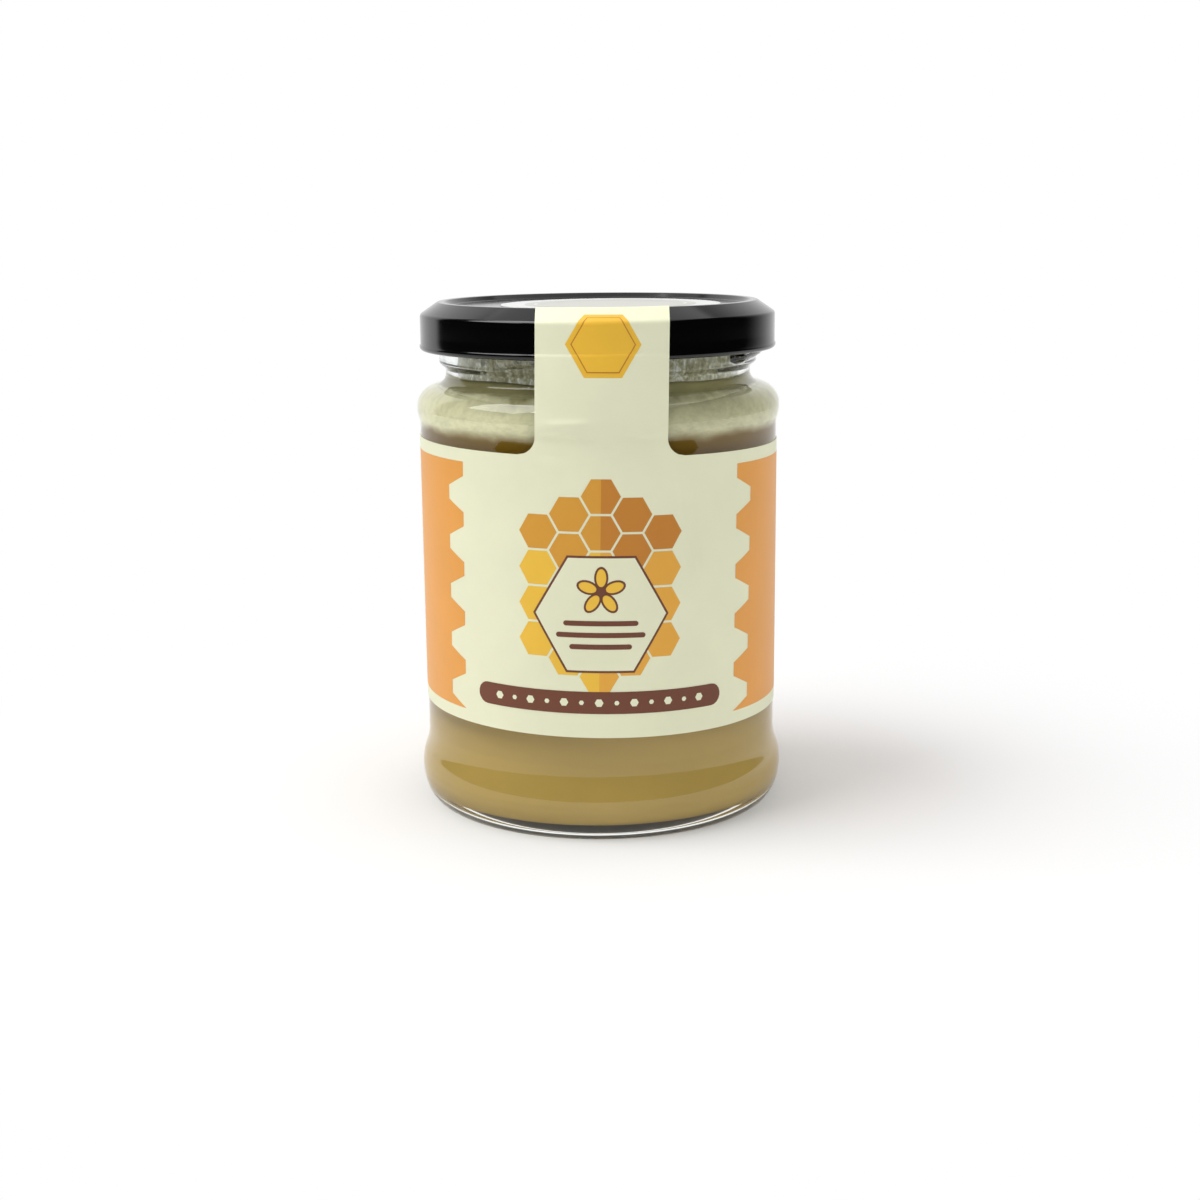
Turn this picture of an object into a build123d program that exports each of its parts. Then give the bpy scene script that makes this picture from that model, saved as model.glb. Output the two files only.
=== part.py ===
"""Honey jar: panelled glass jar, twist-off lid, set honey, wrapped label and lid sticker.

All sizes are in millimetres. The jar stands on Z = 0 and is round about Z. The middle of
the label and its strip over the lid face -Y.
"""

import os
from math import acos, atan2, cos, radians, sin

from build123d import *

# Screw finish of the glass: it sets the size of the neck, the body and the lid.
finish_radius = 32.4  # plain wall that carries the thread
finish_wall = 3.5  # from that wall in to the bore
rim_round_outside = 1.2
rim_round_inside = 0.5
thread_depth = 1.9  # how far a thread lug stands out of the plain wall
thread_round = 1.5  # radius of the lug's round section
thread_count = 4
thread_arc = 55.0  # degrees that one lug spans
thread_rise = 2.6  # climb of one lug, to the right
thread_start = -33.0  # degrees from the front to the low end of the first lug
thread_low = 3.2  # low end's middle, above the lower edge of the screw finish

# Radii of the glass, from the finish out.
neck_undercut = 1.25  # neck inside the finish
shoulder_step = 5.45  # neck to label panel
bead_bulge = 0.6  # shoulder bead proud of the label panel
heel_bulge = 1.45  # heel bead proud of the label panel
foot_inset = 2.2  # standing ring inside the label panel
foot_width = 3.0
wall = 2.4  # glass wall behind the label

# Heights of the glass, from the foot up.
push_up = 1.2  # dome under the base
base_glass = 2.2  # glass between that dome and the honey
floor_round = 2.6
heel_round = 4.0  # rounds where the inside follows the heel
heel_height = 7.0  # widest point of the heel
heel_blend = 8.0  # from there up to the flat panel
panel_height = 63.5
bead_rise = 3.5  # panel to the widest point of the shoulder bead
shoulder_lift = 3.55  # widest point to the corner where the slope starts
shoulder_slope = 1.85  # climb of the slope from the bead to the neck
shoulder_wall = 2.9
shoulder_round = 4.4
neck_round = 2.4
neck_height = 2.7  # sloped shoulder to the lower edge of the finish
finish_chamfer = 1.1
finish_height = 12.05
headspace = 13.65  # honey's top below the rim

# Twist-off lid, pressed from sheet.
lid_sheet = 0.3
lid_clearance = 1.5  # thread lugs to the inside of the skirt
panel_margin = 2.2  # lid's flat panel ends this far inside the finish wall
ring_rise = 0.95  # sealing ring above the flat panel
ring_slope = 1.0
ring_width = 1.3
ring_round = 0.6
chamfer_drop = 2.45  # from the sealing ring down to the top of the skirt
skirt_round = 0.9
lid_depth = 7.9  # flat panel down to the middle of the curl
curl_radius = 0.75
curl_bulge = 0.2  # curl proud of the skirt

# Paper: one label with a strip that runs up over the lid, and a round sticker.
paper = 0.12
label_height = 54.65
label_base = 21.35
label_gap = 6.0  # bare glass between the label's ends, at the back
label_lean = 1.0  # degrees, clockwise as seen from the front
strip_width = 25.1
strip_corner = 3.4
sticker_margin = 7.8  # lid's flat panel to the sticker's edge
sticker_shift = 2.7  # sticker's middle to the right of the lid's
sticker_gap = 0.8  # end of the strip to the sticker

# Worked-out radii.
bore_radius = finish_radius - finish_wall
neck_radius = finish_radius - neck_undercut
body_radius = neck_radius + shoulder_step
bead_radius = body_radius + bead_bulge
heel_radius = body_radius + heel_bulge
foot_radius = body_radius - foot_inset
inner_radius = body_radius - wall
heel_inner_radius = heel_radius - wall
thread_crest = finish_radius + thread_depth
skirt_radius = thread_crest + lid_clearance + lid_sheet
lid_panel_radius = finish_radius - panel_margin
curl_centre_radius = skirt_radius + curl_bulge - curl_radius
sticker_radius = lid_panel_radius - sticker_margin

# Worked-out heights.
floor_height = push_up + base_glass
panel_base = heel_height + heel_blend
panel_top = panel_base + panel_height
bead_height = panel_top + bead_rise
slope_base = bead_height + shoulder_lift
slope_top = slope_base + shoulder_slope
finish_base = slope_top + neck_height
rim_height = finish_base + finish_height
fill_height = rim_height - headspace
lid_top = rim_height + lid_sheet
ring_top = lid_top + ring_rise
skirt_top = ring_top - chamfer_drop
curl_height = lid_top - lid_depth
label_middle = label_base + label_height / 2

os.makedirs("parts", exist_ok=True)


def upright_blend(low, high):
    """S-shaped line of two arcs between two points that leaves both of them straight up."""
    middle = (Vector(*low) + Vector(*high)) / 2
    first = TangentArc(low, middle, tangent=(0, 1))
    return TangentArc(middle, high, tangent=first % 1)


# Outer outline of the glass, filled up to the axis.
with BuildSketch(Plane.XZ) as glass_outline:
    with BuildLine():
        dome = TangentArc((0, push_up), (foot_radius - foot_width, 0), tangent=(1, 0))
        foot = Line(dome @ 1, (foot_radius, 0))
        heel = EllipticalCenterArc(
            (foot_radius, heel_height),
            heel_radius - foot_radius,
            heel_height,
            start_angle=270,
            arc_size=90,
        )
        heel_top = upright_blend((heel_radius, heel_height), (body_radius, panel_base))
        panel = Line(heel_top @ 1, (body_radius, panel_top))
        bead = upright_blend((body_radius, panel_top), (bead_radius, bead_height))
        upper = FilletPolyline(
            bead @ 1,
            (bead_radius, slope_base),
            (neck_radius, slope_top),
            (neck_radius, finish_base),
            (finish_radius, finish_base + finish_chamfer),
            (finish_radius, rim_height),
            (bore_radius, rim_height),
            radius=(shoulder_round, neck_round, 0.5, 0.5, rim_round_outside),
        )
        top = Line(upper @ 1, (0, rim_height))
        axis = Line(top @ 1, dome @ 0)
    make_face()

# Space inside the glass, up to the rim.
with BuildPart() as cavity:
    with BuildSketch(Plane.XZ):
        with BuildLine():
            FilletPolyline(
                (0, floor_height),
                (heel_inner_radius, floor_height),
                (heel_inner_radius, heel_height),
                (inner_radius, panel_base),
                (inner_radius, slope_base - shoulder_wall),
                (bore_radius, slope_top - shoulder_wall),
                (bore_radius, rim_height),
                (0, rim_height),
                radius=(0, floor_round, heel_round, heel_round, shoulder_round, shoulder_round, 0, 0),
                close=True,
            )
        make_face()
    revolve(axis=Axis.Z)

# Thread lug: a round ridge with rounded ends, on a circle tilted by the thread's lead.
lead = atan2(thread_rise, radians(thread_arc) * finish_radius)
lug_centre = Vector(0, 0, finish_base + thread_low + thread_rise / 2)
lug_axis = Vector(0, -sin(lead), cos(lead))


def lug_point(angle):
    """Middle of the lug's section at an angle along its circle, 0 at half its length."""
    climb = Vector(0, cos(lead), sin(lead))
    direction = Vector(1, 0, 0) * cos(radians(angle)) + climb * sin(radians(angle))
    return lug_centre + direction * (thread_crest - thread_round)


with BuildPart() as lug:
    low_end = lug_point(-thread_arc / 2)
    high_end = lug_point(thread_arc / 2)
    across = (low_end - lug_centre).normalized()
    with BuildSketch(Plane(low_end, x_dir=across, z_dir=across.cross(lug_axis))):
        Circle(thread_round)
    revolve(axis=Axis(lug_centre, lug_axis), revolution_arc=thread_arc)
    with Locations(low_end, high_end):
        Sphere(thread_round)

with BuildPart() as glass_jar:
    revolve(glass_outline.sketch, axis=Axis.Z)
    with PolarLocations(0, thread_count, start_angle=thread_start + thread_arc / 2 - 90):
        add(lug.part)
    add(cavity.part, mode=Mode.SUBTRACT)

with BuildPart() as honey:
    add(cavity.part)
    split(bisect_by=Plane.XY.offset(fill_height), keep=Keep.BOTTOM)

# Outer line of the lid, from its middle out over the sealing ring and down the skirt.
with BuildLine() as lid_line:
    FilletPolyline(
        (0, lid_top),
        (lid_panel_radius, lid_top),
        (lid_panel_radius + ring_slope, ring_top),
        (lid_panel_radius + ring_slope + ring_width, ring_top),
        (skirt_radius, skirt_top),
        (skirt_radius, curl_height),
        radius=(ring_round, ring_round, ring_round, skirt_round),
    )

with BuildPart() as lid:
    with BuildSketch(Plane.XZ):
        with BuildLine():
            add(lid_line.line)
            offset(amount=lid_sheet, side=Side.RIGHT)
        make_face()
        with Locations((curl_centre_radius, curl_height)):
            Circle(curl_radius)
    revolve(axis=Axis.Z)

# Where the strip leaves the shoulder bead and meets the lid's curl, both as tangents.
slope_angle = atan2(shoulder_slope, bead_radius - neck_radius)
bead_corner = shoulder_round * (1 - sin(slope_angle)) / cos(slope_angle)
bead_centre = Vector(bead_radius - shoulder_round, slope_base - bead_corner)
curl_centre = Vector(curl_centre_radius, curl_height)
reach = curl_centre - bead_centre
facing = atan2(reach.Y, reach.X) - acos((shoulder_round - curl_radius) / reach.length)
outward = Vector(cos(facing), sin(facing))

# Half outline of everything that the strip lies on or bridges.
with BuildSketch(Plane.XZ) as wrapped:
    add(glass_outline.sketch_local)
    with BuildLine():
        add(lid_line.line)
        Polyline(lid_line.line @ 1, (0, curl_height), (0, lid_top))
    make_face()
    with Locations(tuple(curl_centre)):
        Circle(curl_radius)
    with BuildLine():
        Polyline(
            (0, bead_centre.Y),
            bead_centre,
            bead_centre + outward * shoulder_round,
            curl_centre + outward * curl_radius,
            curl_centre,
            (0, curl_height),
            close=True,
        )
    make_face()

# Outline of the flat label: a band round the jar with the strip standing on its middle.
lean = radians(label_lean)
front_right = (cos(lean), 0, -sin(lean))
strip_end = sticker_radius + sticker_gap
label_plane = Plane((0, 0, label_middle), x_dir=front_right, z_dir=(0, -1, 0))
strip_plane = Plane((0, -strip_end, label_middle), x_dir=front_right, z_dir=(0, -1, 0))
above_label = ring_top - label_middle + strip_width

with BuildPart() as label_cutter:
    with BuildSketch(label_plane):
        Rectangle(3 * body_radius, label_height)
    extrude(amount=2 * body_radius, both=True)
    with BuildSketch(strip_plane) as strip_front:
        Rectangle(strip_width, above_label, align=(Align.CENTER, Align.MIN))
        Rectangle(strip_width + 4 * strip_corner, label_height)
        inner_corners = [
            corner
            for corner in strip_front.vertices()
            if abs(abs(corner.X) - strip_width / 2) < 0.01 and abs(corner.Y - label_height / 2) < 0.01
        ]
        fillet(inner_corners, strip_corner)
    extrude(amount=2 * skirt_radius)
    with Locations((0, body_radius, label_middle)):
        Box(label_gap, body_radius, 2 * label_height, mode=Mode.SUBTRACT)

with BuildPart() as label:
    with BuildSketch(Plane.XZ):
        add(wrapped.sketch_local)
        offset(amount=paper)
        add(wrapped.sketch_local, mode=Mode.SUBTRACT)
        with Locations((0, panel_base)):
            Rectangle(
                2 * skirt_radius, 2 * panel_height, align=(Align.MIN, Align.MIN), mode=Mode.INTERSECT
            )
    revolve(axis=Axis.Z)
    add(label_cutter.part, mode=Mode.INTERSECT)

with BuildPart() as lid_sticker:
    with BuildSketch(Plane.XY.offset(lid_top)):
        with Locations((sticker_shift, 0)):
            Circle(sticker_radius)
    extrude(amount=paper)

glass_jar.part.label = "glass_jar"
export_step(glass_jar.part, "parts/glass_jar.step")

honey.part.label = "honey"
export_step(honey.part, "parts/honey.step")

lid.part.label = "lid"
export_step(lid.part, "parts/lid.step")

label.part.label = "label"
export_step(label.part, "parts/label.step")

lid_sticker.part.label = "lid_sticker"
export_step(lid_sticker.part, "parts/lid_sticker.step")
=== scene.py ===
"""Honey jar: looks of the glass, the set honey, the lid, the paper label and its print.

Run as a script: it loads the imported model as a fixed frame, builds each visible piece with its
own operator, and hands the scene over. Sizes are metres; Z is up and the label faces -Y.
"""

import math

import bpy
import numpy as np
from bpy.props import FloatProperty, FloatVectorProperty, IntProperty, PointerProperty
from bpy.types import Operator, Panel, PropertyGroup
from mathutils import Matrix, Vector


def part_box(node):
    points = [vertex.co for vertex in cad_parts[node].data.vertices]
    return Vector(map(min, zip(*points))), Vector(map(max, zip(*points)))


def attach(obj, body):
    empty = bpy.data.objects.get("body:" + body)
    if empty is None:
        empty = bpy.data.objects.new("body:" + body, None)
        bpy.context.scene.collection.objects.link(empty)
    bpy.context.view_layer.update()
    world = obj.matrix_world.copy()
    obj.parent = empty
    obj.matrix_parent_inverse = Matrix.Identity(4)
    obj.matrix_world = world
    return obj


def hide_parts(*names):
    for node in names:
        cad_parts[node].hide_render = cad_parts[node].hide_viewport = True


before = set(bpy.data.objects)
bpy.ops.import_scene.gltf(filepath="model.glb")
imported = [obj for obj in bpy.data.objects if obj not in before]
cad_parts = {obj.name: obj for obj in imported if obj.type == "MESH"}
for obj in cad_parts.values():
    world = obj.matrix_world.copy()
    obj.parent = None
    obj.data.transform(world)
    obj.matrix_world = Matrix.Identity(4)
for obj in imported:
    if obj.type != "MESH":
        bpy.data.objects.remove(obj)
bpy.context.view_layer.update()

bl_info = {
    "name": "Honey Jar",
    "version": (1, 0, 0),
    "blender": (4, 5, 0),
    "location": "View3D > Sidebar > Honey Jar",
    "description": "Glass jar of set honey with a lid, a wrapped label and a sticker",
    "category": "Object",
}

MM = 0.001
RIM_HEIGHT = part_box("glass_jar")[1].z
FILL_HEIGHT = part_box("honey")[1].z
TINY = 1e-9

# sides of each turned piece
GLASS_SIDES, HONEY_SIDES, FILM_SIDES, LID_SIDES = 240, 256, 240, 288
STICKER_SIDES, STICKER_PRINT_SIDES = 192, 160
ARC_STEPS = 10
# points of the label's band and strip
BAND_COLUMNS, BAND_ROWS = 381, 81
STRIP_ROWS, STRIP_COLUMNS = 150, 61
PATH_STEP = 0.4 * MM
# the strip's rows straighten out over this distance before its end
STRAIGHTEN = 7 * MM
PATH_SPARE = 2 * MM
FILM_GAP = 0.1 * MM

# the sticker's print: inner and outer radius
STICKER_DISC = (0.0, 17.5 * MM)
STICKER_RULE = (15.1 * MM, 15.6 * MM)
STICKER_LIFT = 0.02 * MM
STICKER_GLOSS = 0.35

PAPER_MOTTLE = 0.03
FINE_RELIEF = 0.02 * MM
GLASS_IOR = LACQUER_IOR = 1.5
WINDOW_TINT = (0.93, 0.94, 0.93)

# the label's print in millimetres: side from its middle line, rise from its middle
INK_STEP = 0.7
EDGE_SLACK = 1e-5
FIELD_TOP = 24.8
FIELD_MARGIN = 2.5
FIELD_PERIOD = 9.9
FIELD_STEPS = (0, 0.22, 0.5, 0.72, 1.0)
FIELD_EDGE = (34.2, 29.6, 29.6, 34.2, 34.2)
CELL_PITCH, CELL_RADIUS = 7.0, 3.78
AMBER_RISE = 9
# column and rise of each cell
CELLS = (
    *((0, rise) for rise in (19.9, 12.9, 5.9, -8.1, -15.1)),
    *((column, rise) for column in (-1, 1) for rise in (16.4, 9.4, 2.4, -4.6, -11.6)),
    *((column, rise) for column in (-2, 2) for rise in (12.9, 5.9, -1.1, -8.1)),
)
WINDOW_CENTRE = (0.2, -2.9)
WINDOW_RADIUS, WINDOW_LINE = 13.2, 0.5
BLOSSOM_RISE = 1.6
PETALS, PETAL_REACH = 5, 2.7
PETAL_RIM, PETAL = (2.2, 1.35), (1.75, 0.95)
# rise and half length of each rule
WINDOW_RULES = ((-4.6, 7.2), (-6.9, 8.6), (-9.2, 6.0))
WINDOW_RULE_HALF = 0.5
BANNER_RISE = -20.3
BANNER = (25.6, 2.2)
BANNER_DOTS, BANNER_DOT_GAP = 6, 3.4
BANNER_DOT_RADII = (0.85, 0.5)
SEAL_HEIGHT = 96.9 * MM
SEAL_SIDE = 0.2
SEAL_RADII = (7.1, 6.1, 5.85)
SEAL_STEP = 0.2

# the stage, in metres and shares of full white
LAMP_TARGET = (0, 0, 0.06)
FLOOR_TINT = (0.8, 0.8, 0.8)
FLOOR_SIDES, FLOOR_RADIUS, FLOOR_HEIGHT = 96, 0.9, -0.02 * MM
FLOOR_FADE = (0.055, 0.17)
BACKDROP_LEFT, BACKDROP_RIGHT = (0.5, 0.6), (0.3, 0.95)
DARK_FRONT = 0.01
SKY_SHARES = (0.35, 1.75)

# creases: side and rise of both ends, width, and share of the full height
CREASES = (
    (15.2, 24.0, 16.8, 13.0, 0.7, 0.5),
    (16.6, 14.0, 19.4, 3.6, 0.8, 0.8),
    (17.6, 13.0, 20.2, 6.0, 0.7, -0.4),
    (-11.5, 31.0, -6.5, 31.8, 0.45, 0.5),
    (-7.0, 31.7, -1.8, 30.6, 0.45, 0.6),
    (-10.5, 33.2, -3.0, 33.6, 0.8, 0.6),
    (0.4, 28.9, 3.0, 29.1, 0.3, -0.35),
    (4.0, 32.6, 9.5, 31.4, 0.6, 0.4),
    (-12.0, 26.2, -6.0, 25.0, 1.0, 0.35),
    (6.5, 25.9, 12.0, 24.4, 0.8, 0.35),
)


# ---------------------------------------------------------------- properties


def length(name, description, millimetres):
    """Length property whose default is given in millimetres."""
    return FloatProperty(
        name=name, description=description, default=millimetres * MM, unit="LENGTH", precision=5
    )


def angle(name, description, degrees):
    """Angle property whose default is given in degrees."""
    return FloatProperty(
        name=name, description=description, default=math.radians(degrees), subtype="ANGLE"
    )


def display_to_linear(value):
    """Linear light of one display value: a straight foot, then a power of 2.4."""
    return value / 12.92 if value <= 0.04045 else ((value + 0.055) / 1.055) ** 2.4


def colour(name, description, red, green, blue):
    """Colour property whose default is given as display values from 0 to 255."""
    linear = tuple(display_to_linear(value / 255) for value in (red, green, blue))
    return FloatVectorProperty(
        name=name, description=description, default=linear, subtype="COLOR", size=3, min=0, max=1
    )


class HoneyJarGlass(PropertyGroup):
    """Sizes of the glass, from its foot to its screw finish."""

    finish_radius: length("Finish radius", "Plain wall that carries the thread", 32.4)
    bore_radius: length("Bore radius", "Inside of the neck", 28.9)
    neck_radius: length("Neck radius", "Narrowest outside of the neck", 31.15)
    body_radius: length("Body radius", "Straight panel behind the label", 36.6)
    bead_radius: length("Bead radius", "Widest point of the shoulder bead", 37.2)
    heel_radius: length("Heel radius", "Widest point of the heel", 38.05)
    foot_radius: length("Foot radius", "Outside of the standing ring", 34.4)
    foot_width: length("Foot width", "Width of the standing ring", 3.0)
    inner_radius: length("Inner radius", "Inside of the body", 34.2)
    heel_inner_radius: length("Heel inner radius", "Inside of the heel", 35.65)
    heel_round: length("Heel round", "Rounds where the inside follows the heel", 4.0)
    push_up: length("Push-up", "Height of the dome under the base", 1.2)
    floor_height: length("Floor height", "Inside floor above the foot", 3.4)
    floor_round: length("Floor round", "Round between the floor and the wall", 2.6)
    heel_height: length("Heel height", "Widest point of the heel", 7.0)
    panel_base: length("Panel base", "Lower end of the straight panel", 15.0)
    panel_top: length("Panel top", "Upper end of the straight panel", 78.5)
    bead_height: length("Bead height", "Widest point of the bead", 82.0)
    slope_base: length("Slope base", "Corner between the bead and the slope", 85.55)
    slope_top: length("Slope top", "Corner between the slope and the neck", 87.4)
    shoulder_wall: length("Shoulder wall", "Glass under the slope", 2.9)
    shoulder_round: length("Shoulder round", "Round of the bead", 4.4)
    neck_round: length("Neck round", "Hollow round at the foot of the neck", 2.4)
    finish_base: length("Finish base", "Lower edge of the screw finish", 90.1)
    finish_chamfer: length("Finish chamfer", "Height of the slope under the finish", 1.1)
    small_round: length("Small round", "Rounds of the finish's lower edge", 0.5)
    rim_round: length("Rim round", "Outer round of the rim", 1.2)
    lug_round: length("Lug round", "Radius of a thread lug's section", 1.5)
    lug_crest: length("Lug crest", "Radius of the thread lugs' crest", 34.3)
    lug_low: length("Lug low end", "Height of the middle of a lug's low end", 93.3)
    lug_rise: length("Lug rise", "Climb of a lug", 2.6)
    lug_arc: angle("Lug arc", "Angle of one lug", 55.0)
    lug_start: angle("Lug start", "Low end of the first lug, from the front", -33.0)
    lug_count: IntProperty(name="Lugs", description="Number of thread lugs", default=4)
    waviness: length("Waviness", "Unevenness of the moulded wall", 0.05)
    tint: colour("Tint", "Colour of the glass", 250, 253, 251)


class HoneyJarHoney(PropertyGroup):
    """Honey against the glass."""

    reach: length("Reach", "How far the honey reaches into the glass wall", 0.08)
    body: colour("Body", "Set honey against the wall", 183, 153, 80)
    # Darker, browner honey just over the label: painted shade where the label keeps light off the
    # honey.
    label_shade: colour("Deep", "Clearer honey just over the label", 122, 92, 16)
    pale: colour("Pale", "Frosted honey in the shoulder", 222, 218, 176)
    # Darker olive honey in the upper shoulder: painted shade under the lid.
    lid_shade: colour("Shoulder", "Honey in the upper shoulder", 150, 144, 98)
    film: colour("Film", "Honey film in the neck", 196, 190, 152)
    # Height where the painted shade over the label starts.
    label_shade_height: length("Clear height", "Where the clearer honey starts", 76.0)
    frost_height: length("Frost height", "Where the frosted honey starts", 80.8)
    # Height where the painted shade under the lid starts.
    shade_height: length("Shade height", "Where the upper shoulder's honey starts", 85.6)
    film_height: length("Film height", "How far the film climbs the neck", 8.0)


class HoneyJarLid(PropertyGroup):
    """Twist-off lid pressed from sheet."""

    sheet: length("Sheet", "Thickness of the sheet", 0.3)
    panel_radius: length("Panel radius", "Flat middle of the lid", 30.2)
    panel_height: length("Panel height", "Top of the flat middle", 102.45)
    ring_rise: length("Ring rise", "Sealing ring above the panel", 0.95)
    ring_slope: length("Ring slope", "Width of the ring's inner slope", 1.0)
    ring_width: length("Ring width", "Flat top of the ring", 1.3)
    ring_round: length("Ring round", "Rounds of the ring", 0.6)
    skirt_radius: length("Skirt radius", "Outside of the skirt", 36.1)
    chamfer_drop: length("Chamfer drop", "Ring to the top of the skirt", 2.45)
    skirt_round: length("Skirt round", "Round at the top of the skirt", 0.9)
    depth: length("Depth", "Panel to the middle of the curl", 7.9)
    curl_radius: length("Curl radius", "Rolled edge", 0.75)
    curl_bulge: length("Curl bulge", "Rolled edge proud of the skirt", 0.2)
    lacquer: colour("Lacquer", "Black lacquer", 4, 4, 5)


class HoneyJarPaper(PropertyGroup):
    """Label with its strip, and the lid's sticker."""

    thickness: length("Thickness", "Paper thickness", 0.12)
    height: length("Height", "Height of the label", 54.65)
    base: length("Base", "Lower edge of the label", 21.35)
    gap: length("Gap", "Bare glass between the label's ends", 6.0)
    lean: angle("Lean", "Label's lean, clockwise from the front", 1.0)
    strip_width: length("Strip width", "Width of the strip over the lid", 25.1)
    strip_corner: length("Strip corner", "Round where the strip leaves the label", 3.4)
    strip_end: length("Strip end", "End of the strip from the lid's middle", 23.2)
    sticker_radius: length("Sticker radius", "Radius of the lid's sticker", 22.4)
    sticker_shift: length("Sticker shift", "Sticker's middle to the right", 2.7)
    wrinkle: length("Wrinkle", "Height of the paper's creases", 0.5)
    stock: colour("Stock", "Cream paper", 238, 239, 206)
    sticker_ink: colour("Sticker ink", "Warm grey print of the sticker", 190, 189, 180)
    sticker_stock: colour("Sticker stock", "Pale sticker", 214, 216, 214)


class HoneyJarPrint(PropertyGroup):
    """Inks of the label."""

    lift: length("Lift", "Ink above the paper", 0.03)
    orange: colour("Orange", "Side fields", 236, 162, 68)
    amber: colour("Amber", "Upper cells, left", 222, 158, 50)
    amber_dark: colour("Dark amber", "Upper cells, right", 202, 130, 36)
    gold: colour("Gold", "Lower cells, left", 246, 196, 62)
    gold_dark: colour("Dark gold", "Lower cells, right", 236, 172, 60)
    seal: colour("Seal", "Hexagon on the strip", 244, 192, 52)
    brown: colour("Brown", "Banner and line work", 116, 64, 40)


class HoneyJarStage(PropertyGroup):
    """Floor, light and camera."""

    floor_glow: FloatProperty(
        name="Floor glow", description="White that the floor shows by itself", default=0.05
    )
    sky: FloatProperty(name="Sky", description="Strength of the soft light", default=0.44)
    back: FloatProperty(name="Back", description="White behind the jar", default=1.0)
    key_power: FloatProperty(
        name="Key power", description="Soft lamp at the upper left", default=10.6, unit="POWER"
    )
    streak_power: FloatProperty(
        name="Streak power", description="Small lamp in front", default=0.4, unit="POWER"
    )
    top_power: FloatProperty(
        name="Top power", description="Broad lamp above", default=4.6, unit="POWER"
    )
    lens: FloatProperty(name="Lens", description="Focal length in millimetres", default=53.96)
    camera_distance: length("Camera distance", "Camera in front of the axis", 371.26)
    camera_height: length("Camera height", "Camera above the foot", 121.34)
    camera_pitch: angle("Camera pitch", "How far the camera looks down", 12.25)
    camera_roll: angle("Camera roll", "Camera's turn about its view", -0.54)


# ---------------------------------------------------------------- outlines


def arc(centre, radius, start, end, steps):
    """Points (r, z) on a circle: centre + radius (cos a, sin a), a from start to end."""
    a = np.linspace(start, end, steps + 1)
    return np.column_stack([centre[0] + radius * np.cos(a), centre[1] + radius * np.sin(a)])


def fillet_corner(before, corner, after, radius, steps=ARC_STEPS):
    """Arc that rounds a corner: tangent points at radius * tan(turn / 2) from the corner."""
    to_before = before - corner
    to_after = after - corner
    to_before = to_before / np.linalg.norm(to_before)
    to_after = to_after / np.linalg.norm(to_after)
    half = math.acos(np.clip(to_before @ to_after, -1, 1)) / 2
    reach = radius / math.tan(half)
    bisector = to_before + to_after
    centre = corner + bisector / np.linalg.norm(bisector) * radius / math.sin(half)
    first = corner + to_before * reach - centre
    last = corner + to_after * reach - centre
    start = math.atan2(first[1], first[0])
    turn = math.atan2(last[1], last[0]) - start
    turn = (turn + math.pi) % (2 * math.pi) - math.pi
    return arc(centre, radius, start, start + turn, steps)


def rounded_line(points, radii):
    """Polyline whose inner corners are rounded by the given radii, 0 for a sharp one."""
    points = np.asarray(points, float)
    parts = [points[:1]]
    for i, radius in enumerate(radii, start=1):
        if radius > 0:
            parts.append(fillet_corner(points[i - 1], points[i], points[i + 1], radius))
        else:
            parts.append(points[i:i + 1])
    parts.append(points[-1:])
    return np.vstack(parts)


def upright_blend(low, high, steps=12):
    """S of two equal arcs that leaves both points straight up: r moves by R (1 - cos a)."""
    dr, dz = (high[0] - low[0]) / 2, (high[1] - low[1]) / 2
    radius = (dr * dr + dz * dz) / (2 * abs(dr))
    a = np.linspace(0, math.asin(dz / radius), steps + 1)
    rise = radius * np.sin(a)
    side = math.copysign(1, dr) * radius * (1 - np.cos(a))
    first = np.column_stack([low[0] + side, low[1] + rise])
    second = np.column_stack([high[0] - side, high[1] - rise])[::-1]
    return np.vstack([first, second[1:]])


def even_steps(outline, step):
    """Same outline with no part longer than step, and without doubled points."""
    gaps = np.linalg.norm(np.diff(outline, axis=0), axis=1)
    outline = outline[np.concatenate([[True], gaps > 1e-8])]
    gaps = np.linalg.norm(np.diff(outline, axis=0), axis=1)
    counts = np.maximum(np.ceil(gaps / step).astype(int), 1)
    parts = [
        outline[i] + (outline[i + 1] - outline[i]) * (np.arange(n) / n)[:, None]
        for i, n in enumerate(counts)
    ]
    return np.vstack(parts + [outline[-1:]])


def along(outline):
    """Distance from the start of the outline to each of its points."""
    gaps = np.linalg.norm(np.diff(outline, axis=0), axis=1)
    return np.concatenate([[0.0], np.cumsum(gaps)])


def beside(outline, distance):
    """Outline moved by distance to the right of its direction of travel."""
    travel = np.gradient(outline, axis=0)
    travel /= np.linalg.norm(travel, axis=1)[:, None]
    return outline + distance * np.column_stack([travel[:, 1], -travel[:, 0]])


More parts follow.
